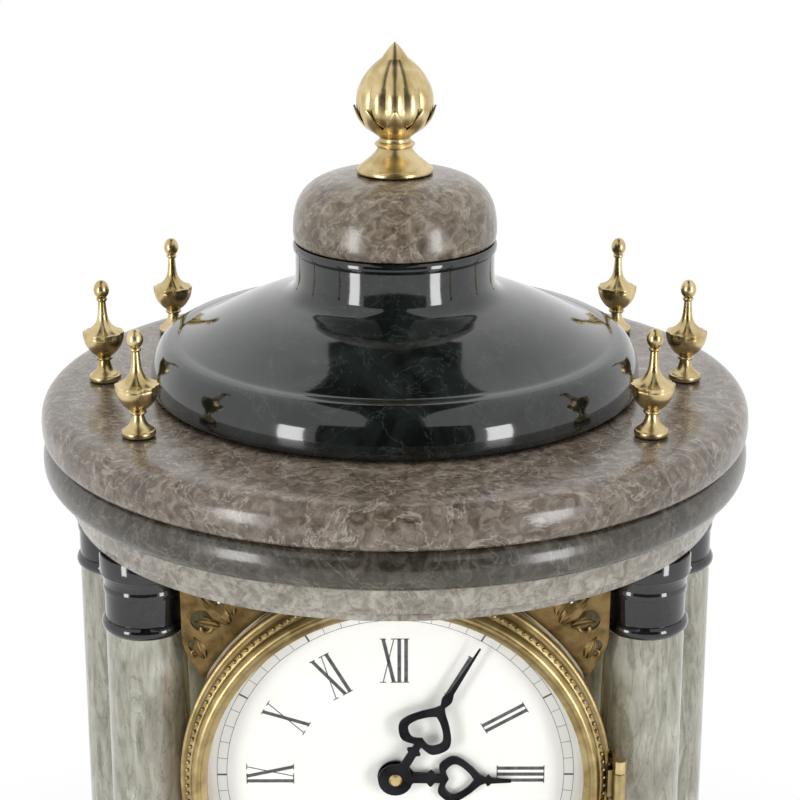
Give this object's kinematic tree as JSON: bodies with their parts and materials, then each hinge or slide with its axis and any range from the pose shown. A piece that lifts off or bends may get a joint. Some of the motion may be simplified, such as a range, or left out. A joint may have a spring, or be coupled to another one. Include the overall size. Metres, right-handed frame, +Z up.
{
  "type": "portico clock",
  "caption": "Round temple mantel clock: columns carry a frieze, cornice and domed top; a gilt drum with dial, movement and swinging pendulum hangs between them.",
  "frame": {"origin": "middle of the feet, on the surface that the clock stands on", "axes": "+Z up, the dial faces -Y, +X to the viewer's right"},
  "size_m": [0.224, 0.224, 0.437],
  "materials": {
    "gilt_feet": "worn gilding",
    "case_stone": "polished mottled brown-grey marble",
    "column_black": "polished black marble",
    "column_marble": "polished grey-green marble",
    "dome_marble": "polished black-green marble",
    "gilt_finials": "worn gilding",
    "steel": "turned steel",
    "gilt_drum": "gilt",
    "gilt_bezel": "gilt, turned",
    "glass": "clear domed glass",
    "old_gilt": "dark old gilding",
    "enamel": "white enamel",
    "movement_brass": "polished brass",
    "bell_metal": "cast bell metal",
    "hand_steel": "blackened steel",
    "pendulum_brass": "drawn brass",
    "gilt_bob": "gilt"
  },
  "bodies": {
    "case": {"foot_1": "gilt_feet", "foot_2": "gilt_feet", "foot_3": "gilt_feet", "foot_4": "gilt_feet", "base_plinth": "case_stone", "frieze": "case_stone", "cornice": "case_stone", "dome_cap": "case_stone", "column_base_1": "column_black", "column_base_2": "column_black", "column_base_3": "column_black", "column_base_4": "column_black", "column_base_5": "column_black", "column_base_6": "column_black", "column_capital_1": "column_black", "column_capital_2": "column_black", "column_capital_3": "column_black", "column_capital_4": "column_black", "column_capital_5": "column_black", "column_capital_6": "column_black", "column_shaft_1": "column_marble", "column_shaft_2": "column_marble", "column_shaft_3": "column_marble", "column_shaft_4": "column_marble", "column_shaft_5": "column_marble", "column_shaft_6": "column_marble", "dome": "dome_marble", "top_finial": "gilt_finials", "small_finial_1": "gilt_finials", "small_finial_2": "gilt_finials", "small_finial_3": "gilt_finials", "small_finial_4": "gilt_finials", "small_finial_5": "gilt_finials", "small_finial_6": "gilt_finials", "tie_rod": "steel", "drum_case": "gilt_drum", "dial_surround": "old_gilt", "dial": "enamel", "front_plate": "movement_brass", "back_plate": "movement_brass", "bell": "bell_metal"},
    "bezel": {"bezel": "gilt_bezel", "bezel_glass": "glass"},
    "rear_door": {"rear_door": "gilt_drum"},
    "minute_hand": {"minute_hand": "hand_steel", "cannon_pinion": "steel"},
    "hour_hand": {"hour_hand": "hand_steel", "hour_wheel": "movement_brass"},
    "minute_wheel": {"minute_wheel": "movement_brass"},
    "centre_wheel": {"centre_wheel": "movement_brass"},
    "third_wheel": {"third_wheel": "movement_brass"},
    "escape_wheel": {"escape_wheel": "movement_brass"},
    "going_barrel": {"going_barrel": "movement_brass"},
    "going_arbor": {"going_arbor": "steel"},
    "strike_barrel": {"strike_barrel": "movement_brass"},
    "strike_arbor": {"strike_arbor": "steel"},
    "pendulum": {"pendulum_rod": "pendulum_brass", "pendulum_bob": "gilt_bob"},
    "anchor": {"anchor": "steel"},
    "hammer": {"hammer": "steel"}
  },
  "joints": [
    {"name": "bezel_hinge", "type": "hinge", "parent": "case", "child": "bezel", "pos_m": [0.0642, -0.0662, 0.2341], "axis": [0, 0, 1], "range_deg": [0, 100]},
    {"name": "rear_door_hinge", "type": "hinge", "parent": "case", "child": "rear_door", "pos_m": [0.0564, 0.0505, 0.2341], "axis": [0, 0, -1], "range_deg": [0, 100]},
    {"name": "minute_hand_turn", "type": "hinge", "parent": "case", "child": "minute_hand", "pos_m": [0, -0.06, 0.2341], "axis": [0, 1, 0], "continuous": true},
    {"name": "hour_hand_turn", "type": "hinge", "parent": "case", "child": "hour_hand", "pos_m": [0, -0.055, 0.2341], "axis": [0, 1, 0], "continuous": true},
    {"name": "minute_wheel_turn", "type": "hinge", "parent": "case", "child": "minute_wheel", "pos_m": [-0.00919, -0.047, 0.24181], "axis": [0, 1, 0], "continuous": true},
    {"name": "third_wheel_turn", "type": "hinge", "parent": "case", "child": "third_wheel", "pos_m": [0.01232, -0.03, 0.25045], "axis": [0, 1, 0], "continuous": true},
    {"name": "centre_wheel_turn", "type": "hinge", "parent": "case", "child": "centre_wheel", "pos_m": [0, -0.025, 0.2341], "axis": [0, 1, 0], "continuous": true},
    {"name": "escape_wheel_turn", "type": "hinge", "parent": "case", "child": "escape_wheel", "pos_m": [0, -0.034, 0.25932], "axis": [0, 1, 0], "continuous": true},
    {"name": "going_barrel_turn", "type": "hinge", "parent": "case", "child": "going_barrel", "pos_m": [0.01843, -0.015, 0.2212], "axis": [0, 1, 0], "continuous": true},
    {"name": "going_arbor_wind", "type": "hinge", "parent": "case", "child": "going_arbor", "pos_m": [0.01843, -0.05, 0.2212], "axis": [0, 1, 0], "continuous": true},
    {"name": "strike_barrel_turn", "type": "hinge", "parent": "case", "child": "strike_barrel", "pos_m": [-0.01843, -0.015, 0.2212], "axis": [0, 1, 0], "continuous": true},
    {"name": "strike_arbor_wind", "type": "hinge", "parent": "case", "child": "strike_arbor", "pos_m": [-0.01843, -0.05, 0.2212], "axis": [0, 1, 0], "continuous": true},
    {"name": "pendulum_swing", "type": "hinge", "parent": "case", "child": "pendulum", "pos_m": [0, 0.006, 0.2741], "axis": [0, 1, 0], "range_deg": [-4, 4]},
    {"name": "anchor_swing", "type": "hinge", "parent": "case", "child": "anchor", "pos_m": [0, 0, 0.2741], "axis": [0, 1, 0], "range_deg": [-4, 4]},
    {"name": "hammer_swing", "type": "hinge", "parent": "case", "child": "hammer", "pos_m": [-0.0204, 0.025, 0.2091], "axis": [0, -1, 0], "range_deg": [0, 15], "stiffness_Nm_per_rad": 0.003, "springref_deg": -17.19}
  ],
  "couplings": [
    {"joint": "hour_hand_turn", "follows": "minute_hand_turn", "ratio": 0.083333},
    {"joint": "minute_wheel_turn", "follows": "minute_hand_turn", "ratio": -0.33333},
    {"joint": "centre_wheel_turn", "follows": "third_wheel_turn", "ratio": -0.083333},
    {"joint": "escape_wheel_turn", "follows": "third_wheel_turn", "ratio": -10},
    {"joint": "going_barrel_turn", "follows": "third_wheel_turn", "ratio": 0.010417},
    {"joint": "anchor_swing", "follows": "pendulum_swing", "ratio": 1}
  ]
}
